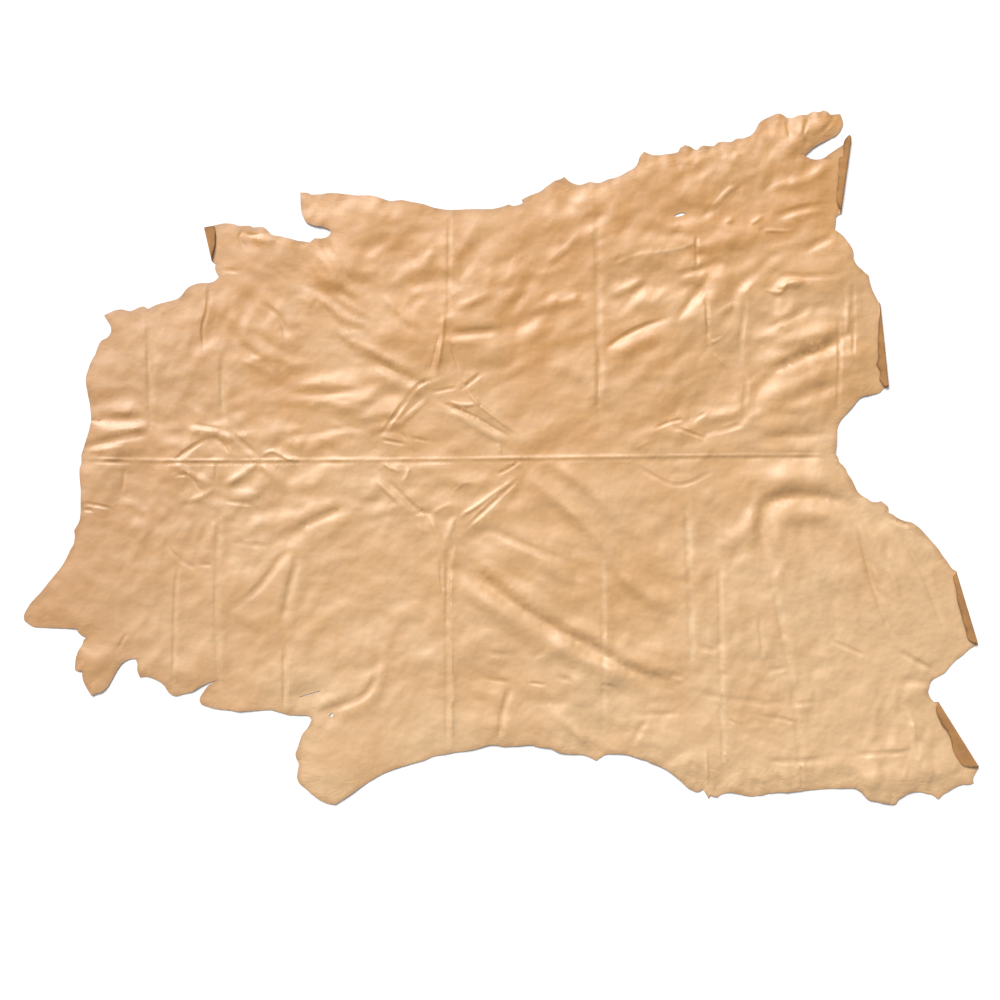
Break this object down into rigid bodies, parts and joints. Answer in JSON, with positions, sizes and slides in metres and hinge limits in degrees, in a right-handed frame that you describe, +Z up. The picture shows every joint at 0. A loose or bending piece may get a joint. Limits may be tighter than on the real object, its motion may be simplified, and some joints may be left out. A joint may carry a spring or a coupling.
{
  "type": "leather hide",
  "caption": "Whole hide of tanned leather lying open, grain side up, with shanks, belly edges, soft folds and turned-over edges.",
  "frame": {"origin": "middle of the hide's box, on the surface that it lies on", "axes": "+X along the backbone from the neck to the tail, +Y towards the upper flank, +Z up out of the grain side"},
  "size_m": [2.3862, 1.7342, 0.015],
  "materials": {
    "leather": "soft tan grain with a pearly sheen, matt flesh side where an edge turns over"
  },
  "bodies": {
    "root": {"hide": "leather"}
  },
  "joints": []
}
